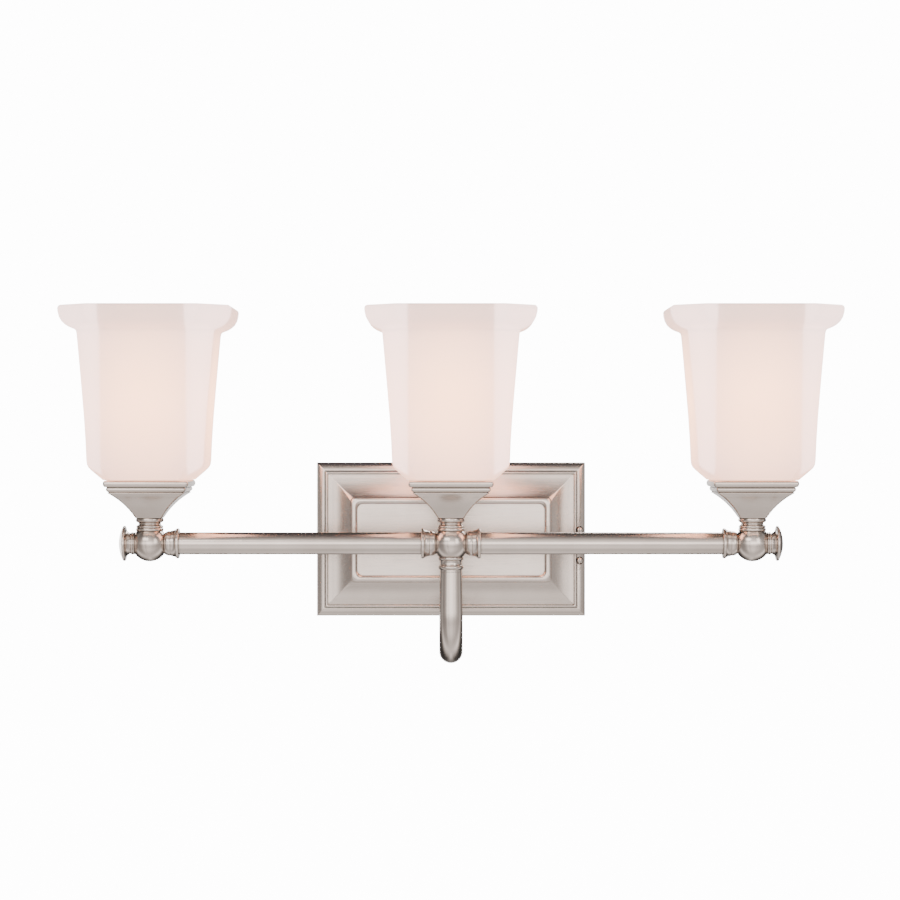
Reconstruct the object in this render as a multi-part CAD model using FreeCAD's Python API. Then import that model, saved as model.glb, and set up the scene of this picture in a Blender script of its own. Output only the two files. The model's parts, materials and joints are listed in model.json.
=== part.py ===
"""Vanity light bar: three shaded lights on a tube that one bent arm carries from a wall plate.

Frame, in millimetres: +Z up, +X along the bar, the front faces -Y. The wall is the plane y = 0, and the
origin is the middle of the wall plate on the wall. The bar's centre line is level with the origin.
"""

import FreeCAD, Part
import math
import os

os.makedirs("parts", exist_ok=True)

V = FreeCAD.Vector
ORIGIN = V(0, 0, 0)
UP = V(0, 0, 1)

# Driving dimensions
LIGHT_SPACING = 217.5  # between the axes of two neighbouring lights
REACH = 105.0  # from the wall to the lights' axes
PLATE_LENGTH = 203.0
PLATE_HEIGHT = 116.0
PANEL_FRONT = 22.5  # the plate's flat panel, from the wall
SHEET = 1.6  # thickness of the plate's metal
BALL_R = 13.0
BAR_R = 8.0
BAR_WALL = 1.0
PASSAGE_R = 4.9  # bores that the nipples and wires pass through
NIPPLE_R = 4.8
NIPPLE_BORE_R = 3.5
FIT = 0.1  # radial gap between fixed turned parts
FITTER_FLOOR = 18.4  # heights above the bar's centre line from here on
SOCKET_FLOOR = 20.5
LEDGE = 43.6  # where the glass rests in the fitter
COLLAR_TOP = 45.6
SOCKET_TOP = 64.0
SHADE_TOP = 170.3
SOCKET_R = 18.5
BULB_R = 30.0
BULB_CENTRE = 116.0
ARM_TOP_R = 7.9
ARM_R = 8.5
ARM_BORE_R = 6.5
ARM_REAR = 50.0  # from the wall to the arm's rear leg
ARM_DROP = 80.0  # from the bar's centre line down to the lowest point of the arm's centre line
WIRE_R = 0.9
STRAP = 2.0  # thickness of the mounting bracket
BOX_SPACING = 79.4  # between the bracket's slots, for boxes with screws 70 to 89 mm apart
SCREW_X = 97.0  # the plate screws
SCREW_Z = (7.0, -16.0)
SCREW_SEAT = 12.4  # from the wall to the undersides of the plate screws' heads
SCREW_R = 1.5
PIN_Z = (-12.0, 12.0)  # the locating pins
PIN_R = 2.0
PIN_LENGTH = 6.0
PIN_OUT = 5.0  # from the wall to the pins' axes
CLEAR = 1.0  # how far cutting shapes run past the faces that they cut

LIGHTS = {"left": -LIGHT_SPACING, "centre": 0.0, "right": LIGHT_SPACING}
SIDES = {"left": -1, "right": 1}


def save(node, shape):
    shape.exportStep(f"parts/{node}.step")


def edges(points, place):
    """Edges through points. A pair of points is an arc through the first to the second."""
    at = place(*points[0])
    made = []
    for step in points[1:]:
        if isinstance(step[0], tuple):
            through, end = (place(*p) for p in step)
            made.append(Part.Arc(at, through, end).toShape())
        else:
            end = place(*step)
            made.append(Part.LineSegment(at, end).toShape())
        at = end
    return made


def face(points, place):
    return Part.Face(Part.Wire(edges(points + [points[0]], place)))


def turned(*points):
    """Solid of revolution about Z from an outline of (radius, height) points."""
    outline = face(list(points), lambda r, z: V(r, 0, z))
    return outline.revolve(ORIGIN, UP, 360)


def crown(edge_r, edge_z, top_z):
    """Last step of an outline: a round cap from its edge up (or down) to its top on the axis."""
    rise = top_z - edge_z
    radius = (edge_r ** 2 + rise ** 2) / (2 * rise)
    half_angle = math.asin(edge_r / abs(radius)) / 2
    through = (abs(radius) * math.sin(half_angle), top_z - radius + radius * math.cos(half_angle))
    return (through, (0, top_z))


def rod(radius, low, high):
    return Part.makeCylinder(radius, high - low, V(0, 0, low))


def tube(radius, bore, low, high):
    return rod(radius, low, high).cut(rod(bore, low, high))


def block(low, high):
    return Part.makeBox(*(b - a for a, b in zip(low, high)), V(*low))


def moved(shape, x=0.0, y=0.0, z=0.0):
    return shape.translated(V(x, y, z))


def along_x(shape, side=1):
    """Turns a solid made along +Z so that it runs along +X, or along -X for side -1."""
    return shape.rotated(ORIGIN, V(0, 1, 0), 90 * side)


def along_front(shape):
    """Turns a solid made along +Z so that it runs along -Y, from the wall to the front."""
    return shape.rotated(ORIGIN, V(1, 0, 0), 90)


def half_moulding(half, length, moulding):
    """Straight moulding that rises from an edge at x = -half and runs flat past the middle.

    moulding holds (distance in from the edge, height) points, from the base up to the top.
    """
    base = moulding[0][1]
    top = moulding[-1][1] if not isinstance(moulding[-1][0], tuple) else moulding[-1][1][1]
    outline = face(moulding + [(half, top), (half, base)], lambda s, h: V(s - half, -length, h))
    side = outline.extrude(V(0, 2 * length, 0))
    return side.fuse(side.rotated(ORIGIN, UP, 180)).removeSplitter()


def mitred(half_x, half_y, moulding):
    """Block with one moulding round all four edges, mitred at the corners."""
    across = half_moulding(half_x, 2 * half_y, moulding)
    lengthways = half_moulding(half_y, 2 * half_x, moulding).rotated(ORIGIN, UP, 90)
    return across.common(lengthways)


def rounded_path(points, radii):
    """Wire of straight runs with a tangent arc of each radius at each inner point."""
    made = []
    at = points[0]
    for before, corner, after, radius in zip(points, points[1:], points[2:], radii):
        back = (before - corner).normalize()
        ahead = (after - corner).normalize()
        half_angle = back.getAngle(ahead) / 2
        start = corner + back * (radius / math.tan(half_angle))
        end = corner + ahead * (radius / math.tan(half_angle))
        inward = (back + ahead).normalize()
        middle = corner + inward * (radius / math.sin(half_angle) - radius)
        if start.distanceToPoint(at) > FIT:
            made.append(Part.LineSegment(at, start).toShape())
        made.append(Part.Arc(start, middle, end).toShape())
        at = end
    made.append(Part.LineSegment(at, points[-1]).toShape())
    return Part.Wire(made)


def swept(path, radius):
    start = path.OrderedEdges[0]
    first = start.FirstParameter
    ring = Part.Wire(Part.makeCircle(radius, start.valueAt(first), start.tangentAt(first)))
    return path.makePipeShell([ring], True, False)


def octagon(half, flat, z):
    """Square of half-width half with clipped corners, whose sides are flat to +-flat."""
    quarter = [(half, -flat), (half, flat)]
    corners = []
    for turn in range(4):
        for x, y in quarter:
            for _ in range(turn):
                x, y = -y, x
            corners.append(V(x, y, z))
    return Part.makePolygon(corners + [corners[0]])


def lofted(sections):
    """Solid through clipped squares, given as (height, half-width, half-length of the flat side)."""
    return Part.makeLoft([octagon(half, flat, z) for z, half, flat in sections], True, True)


# Wall plate
PLATE_MOULDING = [
    (0, 0),
    (0, 8.6),
    ((1.9, 13.1), (6.2, 15.0)),
    (6.9, 15.0),
    (6.9, 15.8),
    ((7.8, 16.5), (8.7, 15.8)),
    ((18.5, 17.6), (26.0, 22.6)),
    ((27.2, 24.3), (28.6, 24.6)),
]
# The moulding's inner face, measured from the inner face of the plate's sides
PLATE_CAVITY = [
    (0, -SHEET),
    (0, 7.0),
    (5.0, 13.4),
    (9.0, 14.2),
    ((18.5, 16.0), (26.4, PANEL_FRONT - SHEET)),
]
PANEL_INSET = 31.0
PANEL_HOLE_R = 5.1
BEAD_SIDE = 2.4  # width of the bead's side towards the panel
BEAD_RISE = 2.1  # from the panel to the bead's crest
SCREW_HOLE_R = 1.8
SCREW_BOSS_R = 3.4
SCREW_FACE_R = 3.0  # the recess round each plate screw's head


def pocket():
    """What is removed inside the bead: a shallow rectangle with a rounded edge, wider towards the front."""
    half_x = PLATE_LENGTH / 2 - PANEL_INSET + BEAD_SIDE
    half_z = PLATE_HEIGHT / 2 - PANEL_INSET + BEAD_SIDE
    bulge = (0.75 * BEAD_SIDE, CLEAR + 0.4 * BEAD_RISE)
    side = [(0, 0), (0, CLEAR), (bulge, (BEAD_SIDE, CLEAR + BEAD_RISE))]
    upside_down = mitred(half_x, half_z, side)
    return moved(upside_down.rotated(ORIGIN, V(1, 0, 0), 180), z=PANEL_FRONT + BEAD_RISE + CLEAR)


def backplate():
    outside = mitred(PLATE_LENGTH / 2, PLATE_HEIGHT / 2, PLATE_MOULDING)
    solid = outside.cut(pocket())
    solid = solid.cut(mitred(PLATE_LENGTH / 2 - SHEET, PLATE_HEIGHT / 2 - SHEET, PLATE_CAVITY))
    solid = solid.cut(rod(PANEL_HOLE_R, 0, 2 * PANEL_FRONT))
    for z in SCREW_Z:
        solid = solid.cut(moved(rod(SCREW_HOLE_R, 0, PANEL_FRONT), SCREW_X, z))
        boss = moved(tube(SCREW_BOSS_R, SCREW_HOLE_R, STRAP, SCREW_SEAT), SCREW_X, z)
        solid = solid.fuse(boss.common(outside))
        solid = solid.cut(moved(rod(SCREW_FACE_R, SCREW_SEAT, PANEL_FRONT), SCREW_X, z))
    solid = along_front(solid)
    for z in PIN_Z:
        pin_hole = along_x(rod(PIN_R + FIT, -SHEET - CLEAR, CLEAR), -1)
        solid = solid.cut(moved(pin_hole, -PLATE_LENGTH / 2, -PIN_OUT, z))
    return solid


save("backplate", backplate())


# Mounting bracket: a strap flat on the wall, with a tab at its left end for the locating pins
BRACKET_LEFT = -97.0
BRACKET_RIGHT = 99.5
BRACKET_HALF_HEIGHT = 11.9
TAB_DEPTH = 8.0
TAB_HALF_HEIGHT = 16.0
EAR_WIDTH = 8.0  # the part of the bracket that takes the plate screws
EAR_BOTTOM = -20.0
SLOT_R = 2.3
SLOT_LENGTH = 16.4
GROUND_X = 24.0
GROUND_R = 1.8
GROUND_GAP = 2.0  # between the bracket and the ground screw's head, for the wire


def through_strap(radius, x, z=0.0):
    return moved(rod(radius, -CLEAR, STRAP + CLEAR), x, z)


def slot(x):
    half = SLOT_LENGTH / 2 - SLOT_R
    middle = block((x - half, -SLOT_R, -CLEAR), (x + half, SLOT_R, STRAP + CLEAR))
    return middle.fuse([through_strap(SLOT_R, x - half), through_strap(SLOT_R, x + half)])


def mounting_bracket():
    ear_left = BRACKET_RIGHT - EAR_WIDTH
    strap = block((BRACKET_LEFT, -BRACKET_HALF_HEIGHT, 0), (ear_left, BRACKET_HALF_HEIGHT, STRAP))
    ear = block((ear_left, EAR_BOTTOM, 0), (BRACKET_RIGHT, BRACKET_HALF_HEIGHT, STRAP))
    tab = block((BRACKET_LEFT, -TAB_HALF_HEIGHT, 0), (BRACKET_LEFT + STRAP, TAB_HALF_HEIGHT, TAB_DEPTH))
    solid = strap.fuse([ear, tab])
    for x in (-BOX_SPACING / 2, BOX_SPACING / 2):
        solid = solid.cut(slot(x))
    solid = solid.cut(through_strap(GROUND_R + FIT, GROUND_X))
    for z in SCREW_Z:
        solid = solid.cut(through_strap(SCREW_R + FIT, SCREW_X, z))
    solid = along_front(solid.removeSplitter())
    for z in PIN_Z:
        pin_hole = along_x(rod(PIN_R + FIT, -CLEAR, STRAP + CLEAR))
        solid = solid.cut(moved(pin_hole, BRACKET_LEFT, -PIN_OUT, z))
    return solid


def screw(shank_r, shank, head_r, head):
    """Slotted round-headed screw along +Z, with the head's underside at z = 0."""
    slot_half_width = head_r / 8
    solid = turned((0, -shank), (shank_r, -shank), (shank_r, 0), (head_r, 0), (head_r, 0.3 * head),
                   crown(head_r, 0.3 * head, head))
    return solid.cut(block((-slot_half_width, -head_r, 0.55 * head), (slot_half_width, head_r, head)))


def screw_in_front(x, z, seat, *sizes):
    return moved(along_front(moved(screw(*sizes), z=seat)), x, 0, z)


PINS_RIGHT = -PLATE_LENGTH / 2 + PIN_LENGTH + FIT
save("mounting_bracket", mounting_bracket())
pins = [moved(along_x(rod(PIN_R, 0, PIN_LENGTH), -1), PINS_RIGHT, -PIN_OUT, z) for z in PIN_Z]
save("locating_pins", Part.makeCompound(pins))
plate_screws = [screw_in_front(SCREW_X, z, SCREW_SEAT, SCREW_R, 11.0, 2.7, 2.4) for z in SCREW_Z]
save("plate_screws", Part.makeCompound(plate_screws))
save("ground_screw", screw_in_front(GROUND_X, 0, STRAP + GROUND_GAP, GROUND_R, 3.8, 4.2, 2.2))


# Arm, its fixing in the plate and the collar that joins it to the hub
PANEL_BACK = PANEL_FRONT - SHEET
COLLAR_END = 20.6  # below the bar's centre line
ARM_LEG = (REACH - ARM_REAR) / 2  # radius of the U
ARM_TURN = 18.0  # radius of the bend into the plate
SPUD_R = 5.0
SPUD_BORE_R = 4.0
SPUD_REAR = 13.0  # from the wall
SPUD_FRONT = 31.0
WASHER_R = 8.5
WASHER = 1.0  # thickness
NUT_FLATS = 14.0
NUT = 4.0  # thickness


def arm():
    path = [V(0, -REACH, -COLLAR_END), V(0, -REACH, -ARM_DROP), V(0, -ARM_REAR, -ARM_DROP)]
    path += [V(0, -ARM_REAR, 0), V(0, -PANEL_FRONT, 0)]
    radii = (ARM_LEG, ARM_LEG, ARM_TURN)
    taper_end = ARM_LEG - ARM_DROP
    below = [V(0, -REACH, taper_end)] + path[1:]
    leg = Part.makeCone(ARM_R, ARM_TOP_R, -COLLAR_END - taper_end, V(0, -REACH, taper_end))
    outside = leg.fuse(swept(rounded_path(below, radii), ARM_R))
    return outside.cut(swept(rounded_path(path, radii), ARM_BORE_R))


save("arm", arm())
save("arm_rosette", along_front(turned(
    (ARM_R + FIT, PANEL_FRONT), (11.5, PANEL_FRONT), (11.5, PANEL_FRONT + 1.3),
    ((10.9, PANEL_FRONT + 2.7), (9.6, PANEL_FRONT + 3.4)), (ARM_R + FIT, PANEL_FRONT + 3.4))))
save("arm_spud", along_front(turned(
    (SPUD_BORE_R, SPUD_REAR), (SPUD_R, SPUD_REAR), (SPUD_R, PANEL_FRONT), (ARM_BORE_R - FIT, PANEL_FRONT),
    (ARM_BORE_R - FIT, SPUD_FRONT), (SPUD_BORE_R, SPUD_FRONT))))
save("arm_lock_washer", along_front(tube(WASHER_R, SPUD_R + FIT, PANEL_BACK - WASHER, PANEL_BACK)))


def hexagon(across_flats, low, high):
    radius = across_flats / math.sqrt(3)
    turns = [k * math.pi / 3 for k in range(7)]
    corners = [V(radius * math.cos(t), radius * math.sin(t), low) for t in turns]
    return Part.Face(Part.makePolygon(corners)).extrude(V(0, 0, high - low))


nut_front = PANEL_BACK - WASHER
nut = hexagon(NUT_FLATS, nut_front - NUT, nut_front).cut(rod(SPUD_R + FIT, 0, PANEL_BACK))
save("arm_lock_nut", along_front(nut))


# Balls and turned fittings. Each fitting is made along +Z from the centre of its ball, which it sits on.
def seated(solid):
    return solid.cut(Part.makeSphere(BALL_R + FIT))


def ball(bores):
    solid = Part.makeSphere(BALL_R)
    for bore in bores:
        solid = solid.cut(bore)
    return solid


def neck():
    return seated(turned(
        (PASSAGE_R, 7.0), (9.7, 7.0), (9.7, 9.1), ((10.0, 10.0), (9.7, 10.9)), (9.3, 11.3),
        ((9.75, 12.1), (9.2, 12.9)), (8.5, 13.4), ((8.0, 14.2), (8.5, 15.1)), (9.4, 15.5),
        ((10.1, 16.9), (9.5, FITTER_FLOOR)), (PASSAGE_R, FITTER_FLOOR)))


CUP_SEAT = 14.0  # from the ball's centre to where a tube's end stops in its cup
CUP_MOUTH = 21.4


def bar_cup():
    return seated(turned(
        (PASSAGE_R, 8.5), (7.4, 8.5), (7.4, 10.8), ((8.6, 12.6), (8.9, 14.6)), (8.9, 15.4), (9.2, 15.6),
        (9.4, 17.0), ((10.0, 18.6), (10.9, 19.6)), (10.9, 20.7), ((10.7, 21.2), (10.2, CUP_MOUTH)),
        (BAR_R + FIT, CUP_MOUTH), (BAR_R + FIT, CUP_SEAT), (PASSAGE_R, CUP_SEAT)))


STUD_R = 2.5
STUD_START = 5.0


def finial():
    knob = seated(turned(
        (0, 9.0), (7.6, 9.0), (7.6, 10.6), ((8.05, 11.2), (7.7, 11.8)), ((8.1, 12.6), (7.6, 13.4)),
        ((7.5, 14.0), (7.8, 14.6)), ((9.1, 16.3), (12.0, 17.2)), (12.6, 17.6), (12.6, 18.6), (12.0, 19.2),
        crown(12.0, 19.2, 22.2)))
    return knob.fuse(rod(STUD_R, STUD_START, 14.0))


def hub_collar():
    return seated(turned(
        (PASSAGE_R, 7.0), (8.6, 7.0), (8.6, 9.6), ((9.15, 10.8), (8.6, 12.0)), (8.0, 12.4),
        ((7.75, 14.0), (8.0, 15.6)), ((9.1, 17.0), (8.6, 18.4)), (ARM_TOP_R, 18.9), (ARM_TOP_R, COLLAR_END),
        (ARM_BORE_R - FIT, COLLAR_END), (ARM_BORE_R - FIT, 27.0), (PASSAGE_R, 27.0)))


through = 2 * BALL_R
hub = ball([rod(PASSAGE_R, -through, through), moved(along_x(rod(PASSAGE_R, -through, through)))])
save("hub", moved(hub, y=-REACH))
save("hub_collar", moved(hub_collar().rotated(ORIGIN, V(1, 0, 0), 180), y=-REACH))
for name, side in SIDES.items():
    axis_x = side * LIGHT_SPACING
    inward = along_x(rod(PASSAGE_R, 0, through), -side)
    stud_hole = along_x(rod(STUD_R + FIT, STUD_START - FIT, through), side)
    end_ball = ball([rod(PASSAGE_R, 0, through), inward, stud_hole])
    save(f"end_ball_{name}", moved(end_ball, axis_x, -REACH))
    save(f"finial_{name}", moved(along_x(finial(), side), axis_x, -REACH))
    save(f"hub_cup_{name}", moved(along_x(bar_cup(), side), y=-REACH))
    save(f"end_cup_{name}", moved(along_x(bar_cup(), -side), axis_x, -REACH))
    bar = tube(BAR_R, BAR_R - BAR_WALL, CUP_SEAT, LIGHT_SPACING - CUP_SEAT)
    save(f"bar_{name}", moved(along_x(bar, side), y=-REACH))


# Fitter: a square cup with a two-step collar over a concave inverted pyramid
FITTER_HALF = 30.3
RECESS_HALF = 28.9


def square_turned(points):
    """Solid with this outline, given in from the widest part, on all four sides, mitred at the corners."""
    outline = face(points + [(FITTER_HALF, points[-1][1]), (FITTER_HALF, points[0][1])],
                   lambda s, h: V(s - FITTER_HALF, -2 * FITTER_HALF, h))
    side = outline.extrude(V(0, 4 * FITTER_HALF, 0))
    whole = side.fuse(side.rotated(ORIGIN, UP, 180)).removeSplitter()
    return whole.common(whole.rotated(ORIGIN, UP, 90))


def from_edge(*points):
    """Turns (half-width, height) points into (distance in from the fitter's edge, height) points."""
    made = []
    for point in points:
        if isinstance(point[0], tuple):
            made.append(tuple(from_edge(*point)))
        else:
            made.append((FITTER_HALF - point[0], point[1]))
    return made


def fitter():
    outside = from_edge(
        (9.5, FITTER_FLOOR), ((16.6, 27.6), (27.9, 36.2)), (28.0, 39.4), (FITTER_HALF, 40.0),
        (FITTER_HALF, COLLAR_TOP))
    inside = from_edge(
        (7.3, SOCKET_FLOOR), ((14.2, 28.4), (25.6, 37.0)), (26.2, LEDGE), (RECESS_HALF, LEDGE),
        (RECESS_HALF, COLLAR_TOP + CLEAR))
    return square_turned(outside).cut(square_turned(inside)).cut(rod(PASSAGE_R, 0, SOCKET_FLOOR + CLEAR))


# Lamp socket, bulb and shade
SHELL_R = 14.5
SHELL_BORE = 13.4
WELL_FLOOR = 36.0  # bottom of the socket's well
CAP_R = 13.1
CAP_TOP = 67.5
GLASS_FLOOR = 47.6
RING_TOP = 56.0
RING_BORE_R = SOCKET_R + 0.3
RING_R = 21.4
LUG_COUNT = 8

SHADE_OUTSIDE = [
    (45.9, 31.0, 22.5), (54.0, 40.3, 29.2), (57.0, 41.7, 30.3), (74.0, 42.5, 30.5), (91.0, 43.5, 30.5),
    (109.0, 45.3, 30.6), (126.0, 46.7, 30.6), (144.0, 48.2, 30.7), (151.8, 50.5, 31.6), (154.0, 54.5, 34.2),
    (156.2, 57.0, 36.0), (160.5, 59.9, 38.2), (167.0, 61.3, 39.5), (SHADE_TOP, 61.5, 39.5)]
SHADE_INSIDE = [
    (GLASS_FLOOR, 28.5, 20.8), (57.0, 37.9, 28.6), (74.0, 38.6, 28.8), (109.0, 41.3, 29.0),
    (144.0, 44.2, 29.1), (150.0, 45.3, 29.8), (156.0, 49.6, 32.4), (163.0, 55.0, 36.2),
    (SHADE_TOP + CLEAR, 57.6, 38.0)]
BOSS = [(LEDGE, 28.5, 21.5), (45.9, 28.5, 21.5)]
SHADE_HOLE_R = 20.6


def shade():
    solid = lofted(SHADE_OUTSIDE).fuse(lofted(BOSS)).cut(lofted(SHADE_INSIDE))
    return solid.cut(rod(SHADE_HOLE_R, LEDGE - CLEAR, GLASS_FLOOR + CLEAR))


def shade_ring():
    """Threaded ring that clamps the glass on the socket, with eight finger lugs."""
    ring = turned(
        (RING_BORE_R, GLASS_FLOOR), (25.0, GLASS_FLOOR), (25.0, 49.6), (24.5, 50.1), (RING_R, 50.1),
        (RING_R, RING_TOP - 0.4), (RING_R - 0.4, RING_TOP), (RING_BORE_R, RING_TOP))
    lug = block((RING_R - 0.4, -1.5, 50.0), (24.0, 1.5, 54.5))
    for k in range(LUG_COUNT):
        ring = ring.fuse(lug.rotated(ORIGIN, UP, 360 / LUG_COUNT * k))
    return ring


def socket_body():
    return turned(
        (PASSAGE_R, SOCKET_FLOOR), (7.0, SOCKET_FLOOR), (7.0, 24.5), (17.5, 34.5), (SOCKET_R, 34.5),
        (SOCKET_R, SOCKET_TOP), (SHELL_R + 2 * FIT, SOCKET_TOP), (SHELL_R + 2 * FIT, WELL_FLOOR),
        (0, WELL_FLOOR), (0, 25.0), (PASSAGE_R, 25.0))


def socket_shell():
    return tube(SHELL_R, SHELL_BORE, WELL_FLOOR + 1.0, SOCKET_TOP - 2.0)


def socket_contact():
    return turned((0, WELL_FLOOR), (5.0, WELL_FLOOR), (5.0, 36.7), (2.4, 38.2), (0, 38.2))


def bulb_tip():
    return turned((0, 38.5), (2.6, 38.5), (3.4, 39.3), (9.0, 43.0), (0, 43.0))


def bulb_cap():
    return turned(
        (0, 43.0), (9.6, 43.0), (12.6, 45.2), (CAP_R, 46.2), (CAP_R, CAP_TOP), (12.3, CAP_TOP),
        (12.3, 47.0), (0, 44.5))


GLASS_WALL = 1.0
GLASS_BOTTOM = 56.0


def on_globe(radius, elevation):
    """Point (radius, height) on the bulb's globe, at an elevation in degrees above its equator."""
    angle = math.radians(elevation)
    return (radius * math.cos(angle), BULB_CENTRE + radius * math.sin(angle))


def bulb_outline(wall, bottom):
    """Outline of the bulb's glass, moved in by wall: neck, shoulder, flare and globe."""
    radius = BULB_R - wall
    flare = ((17.6 - wall, 82.0), on_globe(radius, -35))
    globe = (on_globe(radius, 30), (0, BULB_CENTRE + radius))
    neck_r = 12.2 - wall
    return ((0, bottom), (neck_r, bottom), (neck_r, CAP_TOP), (13.0 - wall, CAP_TOP), flare, globe)


def bulb_glass():
    inside = turned(*bulb_outline(GLASS_WALL, GLASS_BOTTOM + GLASS_WALL))
    return turned(*bulb_outline(0, GLASS_BOTTOM)).cut(inside)


def nipple():
    return tube(NIPPLE_R, NIPPLE_BORE_R, 5.5, 24.9)


LIGHT_PIECES = {
    "neck": neck(),
    "nipple": nipple(),
    "fitter": fitter(),
    "socket_body": socket_body(),
    "socket_shell": socket_shell(),
    "socket_contact": socket_contact(),
    "shade": shade(),
    "shade_ring": shade_ring(),
    "bulb_tip": bulb_tip(),
    "bulb_cap": bulb_cap(),
    "bulb_glass": bulb_glass(),
}
for piece, shape in LIGHT_PIECES.items():
    for name, x in LIGHTS.items():
        save(f"{piece}_{name}", moved(shape, x, -REACH))


# Wires. The six conductors keep one pattern round the arm's centre line: dx to the side, dy to the wall.
CONNECTOR_X = {"black": -12.0, "white": 12.0, "green": 30.0}
CONNECTOR_TOP = -28.0
CONNECTOR_Y = -7.0
WIRE_PLACES = {
    "black": {"left": (-1.99, 1.15), "centre": (0.0, 2.3), "right": (1.99, 1.15)},
    "white": {"left": (-1.99, -1.15), "centre": (0.0, -2.3), "right": (1.99, -1.15)},
}
WIRE_TOP = 25.0
WIRE_TURN = 5.0
WIRE_DROP_Y = -8.0  # where the wires come down inside the plate
SPREAD_TOP = -12.5  # they spread towards their connectors between these heights
SPREAD_BOTTOM = -24.0


def wire(colour, light):
    dx, dy = WIRE_PLACES[colour][light]
    drop = WIRE_DROP_Y + dy
    entry = CONNECTOR_X[colour] + dx
    front = -REACH + dy
    rear = -ARM_REAR - dy
    points = [
        V(entry, drop, CONNECTOR_TOP), V(entry, drop, SPREAD_BOTTOM), V(dx, drop, SPREAD_TOP),
        V(dx, drop, dy), V(dx, rear, dy), V(dx, rear, dy - ARM_DROP), V(dx, front, dy - ARM_DROP)]
    radii = [WIRE_TURN, WIRE_TURN, WIRE_TURN + dy, ARM_TURN + dy, ARM_LEG - dy, ARM_LEG - dy]
    if light != "centre":
        points += [V(dx, front, 0), V(LIGHTS[light], front, 0)]
        radii += [WIRE_TURN, WIRE_TURN]
    points.append(V(LIGHTS[light] if light != "centre" else dx, front, WIRE_TOP))
    path = rounded_path(points, radii)
    solid = swept(path, WIRE_R)
    ratio = solid.Volume / (math.pi * WIRE_R ** 2 * path.Length)
    print(f"{colour} wire to {light}: length {path.Length:.0f} mm, volume ratio {ratio:.4f}")
    return solid


for colour in WIRE_PLACES:
    save(f"{colour}_wires", Part.makeCompound([wire(colour, light) for light in LIGHTS]))

ground_x = GROUND_X - GROUND_R - WIRE_R - FIT
ground_y = -STRAP - WIRE_R
green_x = CONNECTOR_X["green"]
ground_path = rounded_path(
    [V(ground_x, ground_y, 3.0), V(ground_x, ground_y, SPREAD_TOP),
     V(green_x, CONNECTOR_Y, SPREAD_BOTTOM + 2.0), V(green_x, CONNECTOR_Y, CONNECTOR_TOP)],
    [WIRE_TURN - 1.0, WIRE_TURN - 1.0])
save("ground_wire", swept(ground_path, WIRE_R))
connector = turned((0, 0), (5.0, 0), (5.0, 3.0), (3.4, 15.0), crown(3.4, 15.0, 17.0))
connectors = [moved(connector.rotated(ORIGIN, V(1, 0, 0), 180), x, CONNECTOR_Y, CONNECTOR_TOP)
              for x in CONNECTOR_X.values()]
save("wire_connectors", Part.makeCompound(connectors))
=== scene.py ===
import json
import math

import bmesh
import bpy
from mathutils import Matrix, Vector


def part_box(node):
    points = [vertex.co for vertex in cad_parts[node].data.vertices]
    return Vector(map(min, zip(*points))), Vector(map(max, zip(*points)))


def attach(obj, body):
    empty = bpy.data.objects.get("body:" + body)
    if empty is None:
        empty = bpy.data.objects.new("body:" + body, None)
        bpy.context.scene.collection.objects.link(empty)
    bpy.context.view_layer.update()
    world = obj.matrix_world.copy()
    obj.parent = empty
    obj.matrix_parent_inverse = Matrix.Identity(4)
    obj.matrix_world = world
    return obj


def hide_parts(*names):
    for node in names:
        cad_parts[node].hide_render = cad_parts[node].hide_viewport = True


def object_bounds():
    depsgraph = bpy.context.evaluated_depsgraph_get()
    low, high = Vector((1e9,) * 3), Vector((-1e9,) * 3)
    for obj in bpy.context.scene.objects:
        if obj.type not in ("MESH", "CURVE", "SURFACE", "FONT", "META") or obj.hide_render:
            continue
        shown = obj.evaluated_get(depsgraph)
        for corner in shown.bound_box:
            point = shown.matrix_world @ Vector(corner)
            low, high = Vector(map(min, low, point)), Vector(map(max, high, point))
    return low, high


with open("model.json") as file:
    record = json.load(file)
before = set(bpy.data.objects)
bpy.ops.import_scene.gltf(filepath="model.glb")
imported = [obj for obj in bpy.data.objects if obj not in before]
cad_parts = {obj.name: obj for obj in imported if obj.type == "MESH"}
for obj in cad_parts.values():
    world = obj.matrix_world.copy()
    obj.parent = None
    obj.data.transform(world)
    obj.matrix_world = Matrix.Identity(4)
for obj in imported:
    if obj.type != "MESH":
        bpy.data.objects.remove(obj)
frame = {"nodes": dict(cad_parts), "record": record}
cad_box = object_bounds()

MM = 0.001
NODES = frame["nodes"]
LIGHTS = ("left", "centre", "right")
SIDES = {"left": -1, "right": 1}


# Places, all read from the frame
def middle(node):
    low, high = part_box(node)
    return (low + high) / 2


BAR_LEVEL = middle("bar_left").z
AXIS_Y = middle("bar_left").y
AXIS = {name: Vector((middle(f"neck_{name}").x, AXIS_Y, BAR_LEVEL)) for name in LIGHTS}
HUB = AXIS["centre"]
PLATE_LOW, PLATE_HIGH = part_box("backplate")
PANEL_FRONT = -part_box("arm_rosette")[1].y / MM

UPRIGHT = Matrix.Identity(4)
TO_FRONT = Matrix.Rotation(math.radians(90), 4, "X")  # a piece made along +Z runs along -Y


def along_x(side):
    return Matrix.Rotation(math.radians(90 * side), 4, "Y")


# Outlines and meshes, made in millimetres
ARC_STEP = math.radians(5)


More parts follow.
